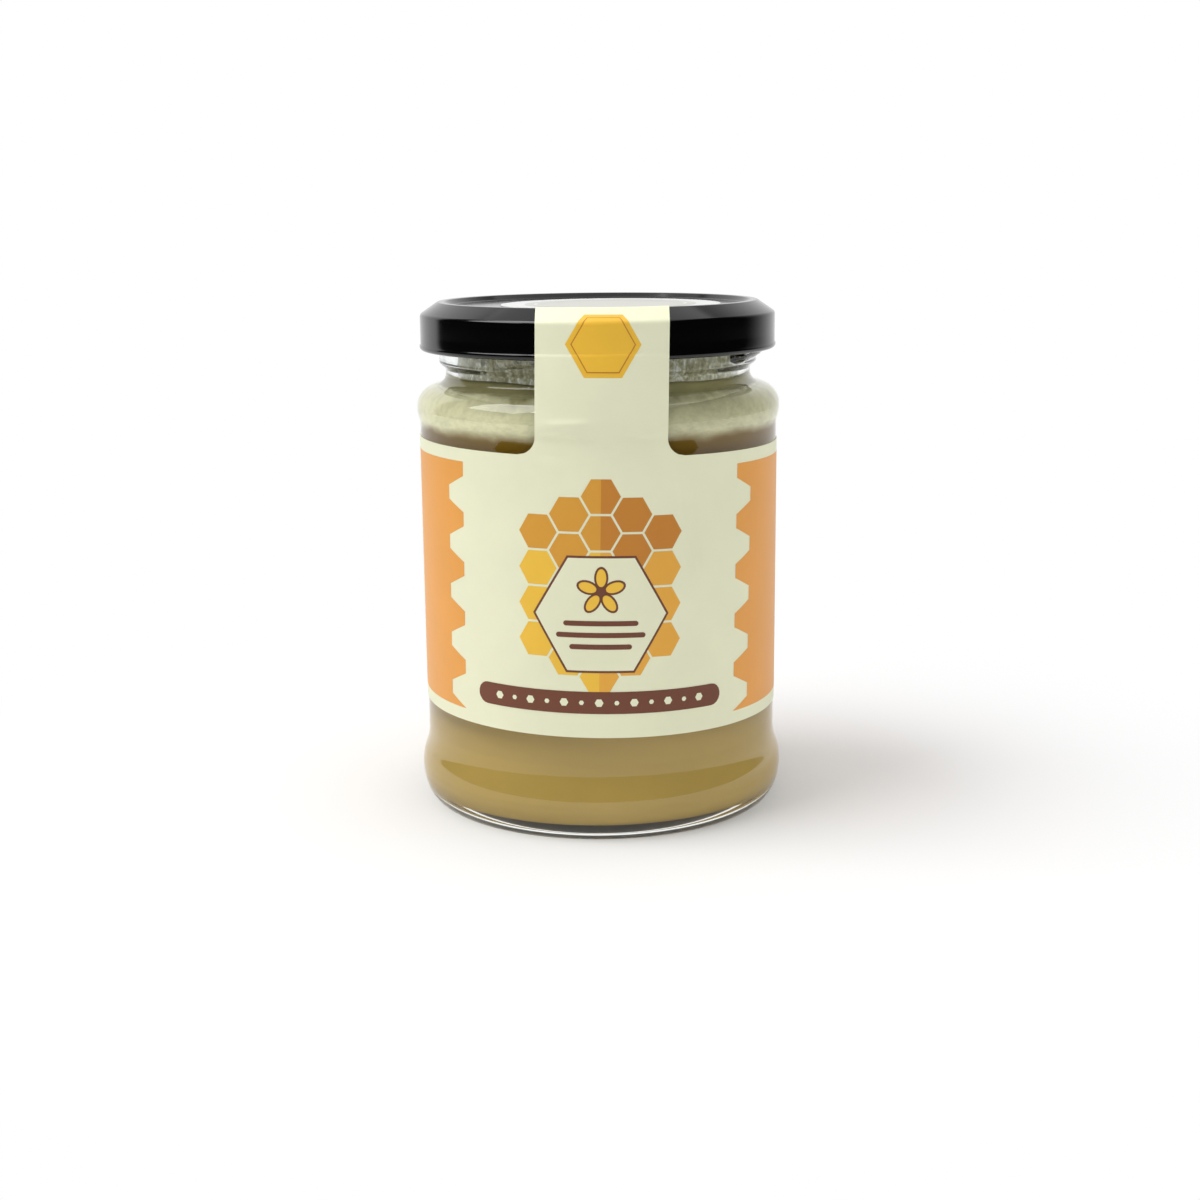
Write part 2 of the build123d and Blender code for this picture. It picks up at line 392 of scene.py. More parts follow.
def glass_outside(g):
    """Outer outline of the glass, from the middle of its base to the inner edge of the rim."""
    foot_inner = g.foot_radius - g.foot_width
    dome_radius = (foot_inner ** 2 + g.push_up ** 2) / (2 * g.push_up)
    dome_angle = math.asin(foot_inner / dome_radius)
    dome = arc((0, g.push_up - dome_radius), dome_radius, math.pi / 2, math.pi / 2 - dome_angle, 16)
    a = np.linspace(-math.pi / 2, 0, 25)
    heel = np.column_stack([
        g.foot_radius + (g.heel_radius - g.foot_radius) * np.cos(a),
        g.heel_height + g.heel_height * np.sin(a),
    ])
    heel_top = upright_blend((g.heel_radius, g.heel_height), (g.body_radius, g.panel_base))
    bead = upright_blend((g.body_radius, g.panel_top), (g.bead_radius, g.bead_height))
    upper = rounded_line(
        [
            (g.bead_radius, g.bead_height),
            (g.bead_radius, g.slope_base),
            (g.neck_radius, g.slope_top),
            (g.neck_radius, g.finish_base),
            (g.finish_radius, g.finish_base + g.finish_chamfer),
            (g.finish_radius, RIM_HEIGHT),
            (g.bore_radius, RIM_HEIGHT),
        ],
        (g.shoulder_round, g.neck_round, g.small_round, g.small_round, g.rim_round),
    )
    return np.vstack([dome, heel, heel_top, bead, upper])


def glass_inside(g, top):
    """Inner outline of the glass, from the middle of its floor up the bore to a height."""
    return rounded_line(
        [
            (0, g.floor_height),
            (g.heel_inner_radius, g.floor_height),
            (g.heel_inner_radius, g.heel_height),
            (g.inner_radius, g.panel_base),
            (g.inner_radius, g.slope_base - g.shoulder_wall),
            (g.bore_radius, g.slope_top - g.shoulder_wall),
            (g.bore_radius, top),
        ],
        (g.floor_round, g.heel_round, g.heel_round, g.shoulder_round, g.shoulder_round),
    )


def lid_outside(lid):
    """Outer outline of the lid, from its middle over the sealing ring and down the skirt."""
    ring_top = lid.panel_height + lid.ring_rise
    ring_outer = lid.panel_radius + lid.ring_slope + lid.ring_width
    return rounded_line(
        [
            (0, lid.panel_height),
            (lid.panel_radius, lid.panel_height),
            (lid.panel_radius + lid.ring_slope, ring_top),
            (ring_outer, ring_top),
            (lid.skirt_radius, ring_top - lid.chamfer_drop),
            (lid.skirt_radius, lid.panel_height - lid.depth),
        ],
        (lid.ring_round, lid.ring_round, lid.ring_round, lid.skirt_round),
    )


def curl_centre(lid):
    """Middle of the lid's rolled edge, (r, z)."""
    radius = lid.skirt_radius + lid.curl_bulge - lid.curl_radius
    return np.array([radius, lid.panel_height - lid.depth])


def strip_path(g, lid):
    """What the paper lies on at the front: panel, bead, bridge to the curl, skirt and ring.

    The bridge is the common tangent of the bead's round and the curl.
    """
    slope = math.atan2(g.slope_top - g.slope_base, g.bead_radius - g.neck_radius)
    drop = g.shoulder_round * (1 - math.sin(slope)) / math.cos(slope)
    bead_middle = np.array([g.bead_radius - g.shoulder_round, g.slope_base - drop])
    curl_middle = curl_centre(lid)
    reach = curl_middle - bead_middle
    facing = math.atan2(reach[1], reach[0]) - math.acos(
        (g.shoulder_round - lid.curl_radius) / np.linalg.norm(reach)
    )
    leave = math.acos((lid.skirt_radius - curl_middle[0]) / lid.curl_radius)
    lid_line = lid_outside(lid)[::-1]
    lid_line = lid_line[lid_line[:, 1] > curl_middle[1] + lid.curl_radius * math.sin(leave)]
    return np.vstack([
        [(g.body_radius, g.panel_base), (g.body_radius, g.panel_top)],
        upright_blend((g.body_radius, g.panel_top), (g.bead_radius, g.bead_height)),
        arc(bead_middle, g.shoulder_round, 0, facing, ARC_STEPS),
        arc(curl_middle, lid.curl_radius, facing, leave, ARC_STEPS),
        lid_line,
    ])


# ---------------------------------------------------------------- meshes


def unevenness(x, y, z, scale, seed):
    """Smooth noise from -1 to 1: a mean of sines that run in seeded directions."""
    random = np.random.default_rng(seed)
    total = np.zeros(np.broadcast(x, y, z).shape)
    waves = 14
    for _ in range(waves):
        direction = random.normal(size=3)
        direction *= random.uniform(0.6, 1.7) / np.linalg.norm(direction) * 2 * math.pi / scale
        phase = random.uniform(0, 2 * math.pi)
        total += np.sin(x * direction[0] + y * direction[1] + z * direction[2] + phase)
    return total / waves * 1.6


def put_mesh(name, vertices, faces, material, smooth=True):
    """Object from arrays of points and faces, its normals outward and its shading smooth."""
    mesh = bpy.data.meshes.new(name)
    mesh.from_pydata([tuple(v) for v in vertices], [], faces)
    mesh.validate()
    mesh.update()
    mesh.polygons.foreach_set("use_smooth", np.full(len(mesh.polygons), smooth))
    mesh.materials.append(material)
    piece = bpy.data.objects.new(name, mesh)
    bpy.context.collection.objects.link(piece)
    return piece


def turned(outline, segments):
    """Angles, radii and heights of an outline turned about Z.

    Point (i, j) of the grid is at angle 2 pi j / segments with r and z of outline point i.
    """
    angles = np.arange(segments) / segments * 2 * math.pi
    radii = np.repeat(outline[:, :1], segments, axis=1)
    heights = np.repeat(outline[:, 1:], segments, axis=1)
    return angles, radii, heights


def lathe_mesh(name, angles, radii, heights, material, centre=(0, 0)):
    """Closed skin of a turned grid: x = r sin a, y = -r cos a; rows of radius 0 are one point."""
    rows, columns = radii.shape
    x = centre[0] + radii * np.sin(angles)
    y = centre[1] - radii * np.cos(angles)
    poles = radii.max(axis=1) < TINY
    sizes = np.where(poles, 1, columns)
    starts = np.concatenate([[0], np.cumsum(sizes)[:-1]])
    ring = np.arange(columns)
    index = starts[:, None] + np.where(poles[:, None], 0, ring[None, :])
    keep = np.ones_like(radii, bool)
    keep[poles, 1:] = False
    vertices = np.stack([x, y, heights], axis=2)[keep]
    following = np.roll(index, -1, axis=1)
    quads = np.stack([index[:-1], following[:-1], following[1:], index[1:]], axis=2)
    faces = []
    for row in range(rows - 1):
        if poles[row]:
            faces.extend(quads[row][:, [0, 2, 3]].tolist())
        elif poles[row + 1]:
            faces.extend(quads[row][:, [0, 1, 2]].tolist())
        else:
            faces.extend(quads[row].tolist())
    return put_mesh(name, vertices, faces, material)


def grid_faces(rows, columns, offset=0, flip=False):
    """Quads of an open grid of rows x columns points."""
    index = np.arange(rows * columns).reshape(rows, columns) + offset
    quads = np.stack([index[:-1, :-1], index[:-1, 1:], index[1:, 1:], index[1:, :-1]], axis=2)
    quads = quads.reshape(-1, 4)
    return quads[:, ::-1] if flip else quads


def slab(outer, inner):
    """Closed solid between two grids of the same shape: both faces and the wall between.

    The wall has its own points, so that smooth shading doesn't run round the paper's edge.
    """
    rows, columns = outer.shape[:2]
    count = rows * columns
    index = np.arange(count).reshape(rows, columns)
    rim = np.concatenate([index[0, :-1], index[:-1, -1], index[-1, :0:-1], index[:0:-1, 0]])
    outer, inner = outer.reshape(-1, 3), inner.reshape(-1, 3)
    top = np.arange(len(rim)) + 2 * count
    low = top + len(rim)
    walls = np.column_stack([top, low, np.roll(low, -1), np.roll(top, -1)])
    faces = np.vstack([
        grid_faces(rows, columns), grid_faces(rows, columns, count, flip=True), walls
    ])
    return np.vstack([outer, inner, outer[rim], inner[rim]]), faces


def joined(parts):
    """One list of points and faces from several (points, faces) pairs."""
    vertices, faces, offset = [], [], 0
    for points, quads in parts:
        vertices.append(points)
        faces.extend((np.asarray(quads) + offset).tolist())
        offset += len(points)
    return np.vstack(vertices), faces


class LabelSurface:
    """Maps flat label coordinates to the paper's outer face.

    side runs to the right of the label's middle line and rise up from the label's middle. On
    the jar side is wrapped, so the angle is side / r. Above the label, on the strip, side
    stays straight and rise follows the path that the strip lies on.
    """

    def __init__(self, scene):
        self.glass = scene.honey_jar_glass
        self.paper = scene.honey_jar_paper
        path = even_steps(strip_path(self.glass, scene.honey_jar_lid), PATH_STEP)
        self.path = path[path[:, 0] > self.paper.strip_end - PATH_SPARE]
        self.outward = beside(self.path, 1.0) - self.path
        self.middle = self.paper.base + self.paper.height / 2
        self.rise = along(self.path) - (self.middle - self.glass.panel_base)
        self.top = self.paper.height / 2
        self.end = self.rise[np.argmin(np.abs(self.path[:, 0] - self.paper.strip_end))]
        self.slope = math.tan(self.paper.lean)

    def rise_at(self, height):
        """Rise of the strip's path where it passes a height below the lid's top."""
        below = self.path[:, 0] > self.glass.finish_radius
        return float(np.interp(height, self.path[below, 1], self.rise[below]))

    def creases(self, side, rise):
        """Height of the paper's faint folds: ridges h exp(-(d / width)^2), d from a segment.

        Each ridge tapers by 0.6 towards its two ends.
        """
        total = np.zeros(np.broadcast(side, rise).shape)
        for x0, z0, x1, z1, width, tall in CREASES:
            dx, dz = (x1 - x0) * MM, (z1 - z0) * MM
            px, pz = side - x0 * MM, rise - z0 * MM
            t = np.clip((px * dx + pz * dz) / (dx * dx + dz * dz), 0, 1)
            gap = np.hypot(px - t * dx, pz - t * dz)
            taper = 1 - 0.6 * (2 * t - 1) ** 4
            total = total + tall * np.exp(-(gap / (width * MM)) ** 2) * taper
        return total * self.paper.wrinkle

    def on_jar(self, side, rise, lift):
        """Points on the wrapped label, lift outside the glass."""
        radius = self.glass.body_radius + lift
        turn = (side + rise * self.slope) / self.glass.body_radius
        x = radius * np.sin(turn)
        z = self.middle + rise / math.cos(self.paper.lean) - x * self.slope
        return np.stack([x, -radius * np.cos(turn), z], axis=-1)

    def on_strip(self, side, rise, lift):
        """Points on the strip: y = -sqrt(r^2 - x^2) with r and z along its path.

        On the lid's flat panel the rows straighten out towards the strip's straight end.
        """
        x = side + (np.interp(rise, self.rise, self.path[:, 1]) - self.middle) * self.slope
        rise = rise - x * self.slope
        r = np.interp(rise, self.rise, self.path[:, 0])
        z = np.interp(rise, self.rise, self.path[:, 1])
        r_out = np.interp(rise, self.rise, self.outward[:, 0])
        z_out = np.interp(rise, self.rise, self.outward[:, 1])
        round_radius = self.paper.strip_end + STRAIGHTEN
        front = np.sqrt(np.maximum(r, round_radius) ** 2 - x ** 2)
        straight = np.clip((round_radius - r) / STRAIGHTEN, 0, 1)
        front = front + (self.paper.strip_end - front) * straight
        return np.stack([x, -(front + r_out * lift), z + z_out * lift], axis=-1)

    def ink_on_jar(self, side, rise, lift):
        """Points lift above the label's outer face, over its folds too."""
        return self.on_jar(side, rise, self.paper.thickness + self.creases(side, rise) + lift)

    def ink_on_strip(self, side, rise, lift):
        """Points lift above the strip's outer face, over its folds too."""
        return self.on_strip(side, rise, self.paper.thickness + self.creases(side, rise) + lift)


# ---------------------------------------------------------------- finishes


class Shading:
    """Nodes of a material or of the world, each added, set and linked in one call."""

    def __init__(self, tree):
        self.nodes, self.links = tree.nodes, tree.links

    def fill(self, node, inputs):
        """Link each output to its socket, or set the number, vector or colour on it."""
        for key, value in inputs.items():
            socket = node.inputs[key]
            if isinstance(value, bpy.types.NodeSocket):
                self.links.new(value, socket)
            elif socket.type == "RGBA":
                socket.default_value = (*value, 1)
            else:
                socket.default_value = value

    def add(self, kind, inputs=None, **options):
        """New node with its options set and its inputs filled."""
        node = self.nodes.new("ShaderNode" + kind)
        for option, value in options.items():
            setattr(node, option, value)
        self.fill(node, inputs or {})
        return node

    def maths(self, operation, *values):
        """Output of a Math node."""
        return self.add("Math", dict(enumerate(values)), operation=operation).outputs["Value"]

    def between(self, value, start, end, low=0.0, high=1.0, smooth=True):
        """Value mapped from start and end to low and high, with smooth or straight ends."""
        node = self.add(
            "MapRange",
            {"Value": value, "From Min": start, "From Max": end, "To Min": low, "To Max": high},
            interpolation_type="SMOOTHSTEP" if smooth else "LINEAR",
        )
        return node.outputs["Result"]

    def blend(self, kind, factor, first, second):
        """Mix of two colours (RGBA) or numbers (FLOAT), the second where the factor is 1."""
        node = self.add("Mix", {"Factor": factor, "A": first, "B": second}, data_type=kind)
        return node.outputs["Result"]

    def axis(self, name, coordinates="Object"):
        """X, Y or Z of the texture coordinates."""
        place = self.add("TexCoord").outputs[coordinates]
        return self.add("SeparateXYZ", {"Vector": place}).outputs[name]

    def noise(self, scale, detail=3.0, roughness=0.55, stretch=(1, 1, 1)):
        """Noise in Object coordinates, scale in waves per metre."""
        place = self.add("TexCoord").outputs["Object"]
        mapped = self.add("Mapping", {"Vector": place, "Scale": stretch}).outputs["Vector"]
        noise = {"Vector": mapped, "Scale": scale, "Detail": detail, "Roughness": roughness}
        return self.add("TexNoise", noise).outputs["Fac"]

    def ramp(self, value, stops):
        """Colour of a ramp through (position, colour) stops."""
        node = self.add("ValToRGB", {"Fac": value})
        elements = node.color_ramp.elements
        while len(elements) < len(stops):
            elements.new(0.5)
        for element, (position, tint) in zip(elements, stops):
            element.position = position
            element.color = (*tint, 1)
        return node.outputs["Color"]

    def bump(self, shader, height, strength, distance):
        """Bump of the shader's normal from a height output, distance in metres."""
        node = self.add("Bump", {"Strength": strength, "Distance": distance, "Height": height})
        self.fill(shader, {"Normal": node.outputs["Normal"]})

    def surface(self, factor, first, second):
        """Mix of two shaders as the material's surface, the second where the factor is 1."""
        mix = self.add("MixShader", {"Fac": factor, 1: first, 2: second})
        self.fill(self.nodes["Material Output"], {"Surface": mix.outputs["Shader"]})


def new_material(name):
    """Node material, its shading and its Principled shader."""
    material = bpy.data.materials.new(name)
    material.use_nodes = True
    shading = Shading(material.node_tree)
    return material, shading, shading.nodes["Principled BSDF"]


def scaled(tint, factor):
    """Colour times a factor, kept within 0 to 1."""
    return tuple(min(channel * factor, 1.0) for channel in tint)


def paper_finish(name, tint, roughness=0.5):
    """Printed or plain paper: its colour a little uneven, with a fine fibre bump."""
    material, shading, shader = new_material(name)
    cloud = shading.noise(scale=60, detail=4)
    tints = [(0.3, scaled(tint, 1 - PAPER_MOTTLE)), (0.7, scaled(tint, 1 + PAPER_MOTTLE))]
    shading.fill(shader, {"Base Color": shading.ramp(cloud, tints), "Roughness": roughness})
    shading.bump(shader, shading.noise(scale=2500, detail=2), 0.5, FINE_RELIEF)
    return material


def glass_finish(g):
    """Clear moulded glass; shadows and soft light pass it as through a tinted window."""
    material, shading, shader = new_material("jar_glass")
    shading.fill(shader, {
        "Base Color": g.tint, "Roughness": 0.0, "IOR": GLASS_IOR, "Transmission Weight": 1.0
    })
    window = shading.add("BsdfTransparent", {"Color": WINDOW_TINT})
    ray = shading.add("LightPath").outputs
    passing = shading.maths("MAXIMUM", ray["Is Shadow Ray"], ray["Is Diffuse Ray"])
    shading.surface(passing, shader.outputs["BSDF"], window.outputs["BSDF"])
    return material


def honey_finish(h):
    """Set honey: cloudy, with painted shade just over the label, frosted pale in the shoulder, and
    painted shade under the lid.
    """
    material, shading, shader = new_material("set_honey")
    cloud = shading.noise(scale=45, detail=5, roughness=0.6)
    clouded = [(0.25, scaled(h.body, 0.93)), (0.55, h.body), (0.8, scaled(h.body, 1.07))]
    crystals = shading.noise(scale=300, detail=6, roughness=0.75, stretch=(1, 1, 2.6))
    frost = shading.ramp(crystals, [(0.36, scaled(h.pale, 0.8)), (0.6, h.pale)])
    # Painted shade under the lid, mottled by the crystals noise.
    shade = shading.ramp(crystals, [(0.36, scaled(h.lid_shade, 0.85)), (0.6, h.lid_shade)])
    sway = shading.noise(scale=130, detail=4, roughness=0.6)
    height = shading.maths("MULTIPLY_ADD", sway, 3.0 * MM, shading.axis("Z"))
    tint = shading.ramp(cloud, clouded)
    # Bands by height: painted shade over the label, frosted honey, then painted shade under the
    # lid.
    for base, width, upper in (
        (h.label_shade_height, 3.0 * MM, h.label_shade),
        (h.frost_height, 3.0 * MM, frost),
        (h.shade_height, 1.0 * MM, shade),
    ):
        above = shading.between(height, base - width / 2, base + width / 2)
        tint = shading.blend("RGBA", above, tint, upper)
    shading.fill(shader, {"Base Color": tint, "Roughness": 0.45, "Specular IOR Level": 0.15})
    return material


def film_finish(h):
    """Thin honey film: honey colour where patchy noise is high, clear elsewhere and higher up; its
    near-white specks are painted glints.
    """
    material, shading, shader = new_material("honey_film")
    grain_and_glints = shading.noise(scale=900, detail=5, roughness=0.7, stretch=(1, 1, 0.6))
    # The near-white top stop paints glints on the film's specks.
    tints = [(0.38, scaled(h.film, 0.55)), (0.52, h.film), (0.66, (1, 1, 0.96))]
    patches = shading.noise(scale=170, detail=6, roughness=0.7, stretch=(1, 1, 1.8))
    film_top = FILL_HEIGHT + h.film_height
    thin = shading.between(shading.axis("Z"), FILL_HEIGHT, film_top, 0.3, -0.05, smooth=False)
    cover = shading.between(shading.maths("ADD", patches, thin), 0.36, 0.6, high=0.92)
    shading.fill(shader, {
        "Base Color": shading.ramp(grain_and_glints, tints), "Roughness": 0.3, "Alpha": cover
    })
    return material


def lacquer_finish(lid):
    """Gloss black lacquer with a clear, very slightly uneven coat."""
    material, shading, shader = new_material("lid_lacquer")
    shading.fill(shader, {"Base Color": lid.lacquer, "Roughness": 0.13, "IOR": LACQUER_IOR})
    shading.bump(shader, shading.noise(scale=400, detail=2), 0.15, FINE_RELIEF)
    return material


# ---------------------------------------------------------------- pieces


def hand_over(piece, node=None):
    """The piece rides the jar, and stands for its CAD node, which is hidden, where one is given."""
    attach(piece, "root")
    if node:
        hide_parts(node)
    return piece


def lug_radii(g, angles, heights):
    """Radius of the thread lugs: crest - round + sqrt(round^2 - d^2), d from a lug's line."""
    run = g.lug_arc * g.finish_radius
    full = run ** 2 + g.lug_rise ** 2
    up = heights - g.lug_low
    result = np.zeros_like(heights)
    for k in range(g.lug_count):
        start = g.lug_start + 2 * math.pi * k / g.lug_count
        turn = (angles[None, :] - start + math.pi / 2) % (2 * math.pi) - math.pi / 2
        side = turn * g.finish_radius
        t = np.clip((side * run + up * g.lug_rise) / full, 0, 1)
        gap = np.hypot(side - t * run, up - t * g.lug_rise)
        ridge = g.lug_crest - g.lug_round + np.sqrt(np.maximum(g.lug_round ** 2 - gap ** 2, 0))
        result = np.maximum(result, np.where(gap < g.lug_round, ridge, 0))
    return result


def build_glass(scene):
    """Glass wall: outside and inside outlines turned, the lugs raised, both a little wavy."""
    g = scene.honey_jar_glass
    outside = glass_outside(g)
    finish = outside[:, 1] > g.finish_base
    outside = np.vstack([
        even_steps(outside[~finish], 1.5 * MM),
        even_steps(outside[finish], 0.3 * MM),
    ])
    inside = even_steps(glass_inside(g, RIM_HEIGHT), 1.2 * MM)
    outline = np.vstack([outside, inside[::-1][1:]])
    angles, radii, heights = turned(outline, GLASS_SIDES)
    is_outside = (np.arange(len(outline)) < len(outside))[:, None]
    x, y = np.sin(angles)[None, :] * radii, -np.cos(angles)[None, :] * radii
    fine = unevenness(x, y, heights, 9 * MM, seed=3)
    broad = unevenness(x, y, heights, 24 * MM, seed=4)
    ripple = unevenness(x, y, heights, 5 * MM, seed=5)

    above_heel = np.clip((heights - g.heel_height) / (4 * MM), 0, 1)
    above_honey = np.clip((heights - FILL_HEIGHT) / (2 * MM), 0.2, 1)
    off_axis = np.clip(radii / g.bore_radius, 0, 1)
    outer_dent = g.waviness * (0.5 + 0.25 * fine + 0.25 * broad) * above_heel
    inner_dent = g.waviness * (0.5 * ripple + 0.5 * fine) * above_honey * off_axis
    radii = np.where(is_outside, radii - outer_dent, radii + inner_dent)
    on_finish = is_outside & (heights > g.finish_base)
    radii = np.where(on_finish, np.maximum(radii, lug_radii(g, angles, heights)), radii)
    radii[outline[:, 0] < TINY] = 0
    piece = lathe_mesh("jar_glass", angles, radii, heights, glass_finish(g))
    return hand_over(piece, "glass_jar")


def build_honey(scene):
    """Honey: the inside outline moved into the wall by reach, closed by an uneven top."""
    g, h = scene.honey_jar_glass, scene.honey_jar_honey
    wall = beside(glass_inside(g, FILL_HEIGHT), h.reach)
    wall[0, 0] = 0
    top_radii = np.linspace(wall[-1, 0], 0, 16)[1:]
    top = np.column_stack([top_radii, np.full(len(top_radii), FILL_HEIGHT)])
    outline = np.vstack([even_steps(wall, 1.0 * MM), top])
    angles, radii, heights = turned(outline, HONEY_SIDES)
    x, y = np.sin(angles)[None, :] * radii, -np.cos(angles)[None, :] * radii
    swell = 0.5 * MM * unevenness(x, y, 0 * x, 16 * MM, seed=8)
    blend_depth = 1.5 * MM
    lifted = np.clip((heights - FILL_HEIGHT + blend_depth) / blend_depth, 0, 1)
    heights = heights + lifted * swell
    heights[-1] = heights[-1].mean()
    piece = lathe_mesh("set_honey", angles, radii, heights, honey_finish(h))
    return hand_over(piece, "honey")


def build_film(scene):
    """Honey film on the bore above the honey: r = bore - gap, from the honey to film_height."""
    g, h = scene.honey_jar_glass, scene.honey_jar_honey
    levels = np.linspace(FILL_HEIGHT - 1.0 * MM, FILL_HEIGHT + h.film_height, 24)
    outline = np.column_stack([np.full(len(levels), g.bore_radius - FILM_GAP), levels])
    angles, radii, heights = turned(outline, FILM_SIDES)
    piece = lathe_mesh("honey_film", angles, radii, heights, film_finish(h))
    return hand_over(piece)


def build_lid(scene):
    """Lid: sheet outline out and back, joined by the rolled edge, turned about Z."""
    lid = scene.honey_jar_lid
    outer = lid_outside(lid)
    inner = beside(outer, lid.sheet)
    inner[0, 0] = 0
    centre = curl_centre(lid)
    leave = math.acos((lid.skirt_radius - centre[0]) / lid.curl_radius)
    arrive = math.acos((lid.skirt_radius - lid.sheet - centre[0]) / lid.curl_radius)
    outer = outer[outer[:, 1] > centre[1] + lid.curl_radius * math.sin(leave)]
    inner = inner[inner[:, 1] > centre[1] + lid.curl_radius * math.sin(arrive)]
    roll = arc(centre, lid.curl_radius, leave, arrive - 2 * math.pi, 28)
    outline = even_steps(np.vstack([outer, roll, inner[::-1]]), 2.0 * MM)
    angles, radii, heights = turned(outline, LID_SIDES)
    piece = lathe_mesh("lid", angles, radii, heights, lacquer_finish(lid))
    return hand_over(piece, "lid")


def build_label(scene):
    """Label: a wrapped band and the strip on its middle, each a slab of paper thickness."""
    place = LabelSurface(scene)
    g, paper = place.glass, place.paper
    half = math.pi * g.body_radius - paper.gap / 2
    side, rise = np.meshgrid(
        np.linspace(-half, half, BAND_COLUMNS), np.linspace(-place.top, place.top, BAND_ROWS)
    )
    band = slab(place.ink_on_jar(side, rise, 0), place.on_jar(side, rise, 0))

    rises = np.linspace(place.top, place.end, STRIP_ROWS)
    near = np.clip(paper.strip_corner - (rises - place.top), 0, None)
    widening = paper.strip_corner - np.sqrt(paper.strip_corner ** 2 - near ** 2)
    half_width = paper.strip_width / 2 + widening
    share = np.linspace(-1, 1, STRIP_COLUMNS)
    side = half_width[:, None] * share[None, :]
    rise = np.repeat(rises[:, None], len(share), axis=1)
    strip = slab(place.ink_on_strip(side, rise, 0), place.on_strip(side, rise, 0))

    vertices, faces = joined([band, strip])
    piece = put_mesh("label", vertices, faces, paper_finish("label_paper", paper.stock))
    return hand_over(piece, "label")


def build_sticker(scene):
    """Lid sticker: a thin disc, with a warm grey disc and a thin pale ring printed on it."""
    lid, paper = scene.honey_jar_lid, scene.honey_jar_paper
    centre = (paper.sticker_shift, 0)
    edge, base = paper.sticker_radius, lid.panel_height
    top = base + paper.thickness
    outline = np.array([(0, base), (edge, base), (edge, top), (0, top)])
    angles, radii, heights = turned(even_steps(outline, 2.0 * MM), STICKER_SIDES)
    finish = paper_finish("sticker_paper", paper.sticker_stock, STICKER_GLOSS)
    piece = lathe_mesh("lid_sticker", angles, radii, heights, finish, centre)
    piece.data.polygons.foreach_set("use_smooth", np.zeros(len(piece.data.polygons), bool))
    hand_over(piece, "lid_sticker")

    grey = paper_finish("sticker_ink", paper.sticker_ink, STICKER_GLOSS)
    white = paper_finish("sticker_rule", paper.sticker_stock, STICKER_GLOSS)
    prints = (("sticker_disc", STICKER_DISC, grey), ("sticker_rule", STICKER_RULE, white))
    for layer, (name, (inner, outer), ink) in enumerate(prints, start=1):
        height = top + layer * STICKER_LIFT
        outline = np.array([(inner, height), (outer, height)])
        angles, radii, heights = turned(outline, STICKER_PRINT_SIDES)
        disc = lathe_mesh(name, angles, radii, heights, ink, centre)
        hand_over(disc)


# ---------------------------------------------------------------- print


def ink_patch(place, first, second, lift, step=INK_STEP):
    """Skin between two edges on the paper: point (i, t) = first_i + (second_i - first_i) t."""
    widest = np.linalg.norm(second - first, axis=1).max()
    t = np.linspace(0, 1, max(int(math.ceil(widest / step)), 1) + 1)
    flat = first[:, None, :] + (second - first)[:, None, :] * t[None, :, None]
    points = place(flat[..., 0] * MM, flat[..., 1] * MM, lift)
    return points.reshape(-1, 3), grid_faces(len(first), len(t))


def polygon_patch(place, corners, lift, step=INK_STEP, sides=(-99, 99)):
    """Skin of a convex polygon between its left and right edge at each rise, cut at two sides."""
    corners = np.asarray(corners, float)
    low, high = corners[:, 1].min(), corners[:, 1].max()
    count = max(int(math.ceil((high - low) / step)), 1)
    levels = np.concatenate([np.linspace(low, high, count + 1), corners[:, 1]])
    rises = np.unique(np.round(levels, 6))
    left, right = np.full(len(rises), np.inf), np.full(len(rises), -np.inf)
    for a, b in zip(corners, np.roll(corners, -1, axis=0)):
        if abs(b[1] - a[1]) < TINY:
            continue
        t = (rises - a[1]) / (b[1] - a[1])
        inside = (t > -EDGE_SLACK) & (t < 1 + EDGE_SLACK)
        side = a[0] + t * (b[0] - a[0])
        left = np.where(inside, np.minimum(left, side), left)
        right = np.where(inside, np.maximum(right, side), right)
    first = np.column_stack([np.clip(left, *sides), rises])
    second = np.column_stack([np.clip(right, *sides), rises])
    return ink_patch(place, first, second, lift, step)


def hexagon(side, rise, radius):
    """Corners of a hexagon with level top and bottom edges, radius to its corners."""
    a = np.arange(6) * math.pi / 3
    return np.column_stack([side + radius * np.cos(a), rise + radius * np.sin(a)])


def oval(side, rise, half_length, half_width, turn, count=20):
    """Corners of an ellipse turned by an angle from level."""
    a = np.arange(count) / count * 2 * math.pi
    x, y = half_length * np.cos(a), half_width * np.sin(a)
    c, s = math.cos(turn), math.sin(turn)
    return np.column_stack([side + x * c - y * s, rise + x * s + y * c])


def pill(side, rise, half_length, half_width, count=10):
    """Corners of a level bar with round ends."""
    a = np.linspace(-math.pi / 2, math.pi / 2, count)
    reach = half_length - half_width
    right = np.column_stack([side + reach + half_width * np.cos(a), rise + half_width * np.sin(a)])
    left = np.column_stack([side - reach - half_width * np.cos(a), rise - half_width * np.sin(a)])
    return np.vstack([right, left])


def put_print(name, inked):
    """One object of ink patches from (material, (points, faces)) pairs."""
    vertices, faces = joined([patch for _, patch in inked])
    materials, ids = [], []
    for material, (_, quads) in inked:
        if material not in materials:
            materials.append(material)
        ids.extend([materials.index(material)] * len(quads))
    piece = put_mesh(name, vertices, faces, materials[0])
    for material in materials[1:]:
        piece.data.materials.append(material)
    piece.data.polygons.foreach_set("material_index", ids)
    piece.data.update()
    return hand_over(piece)


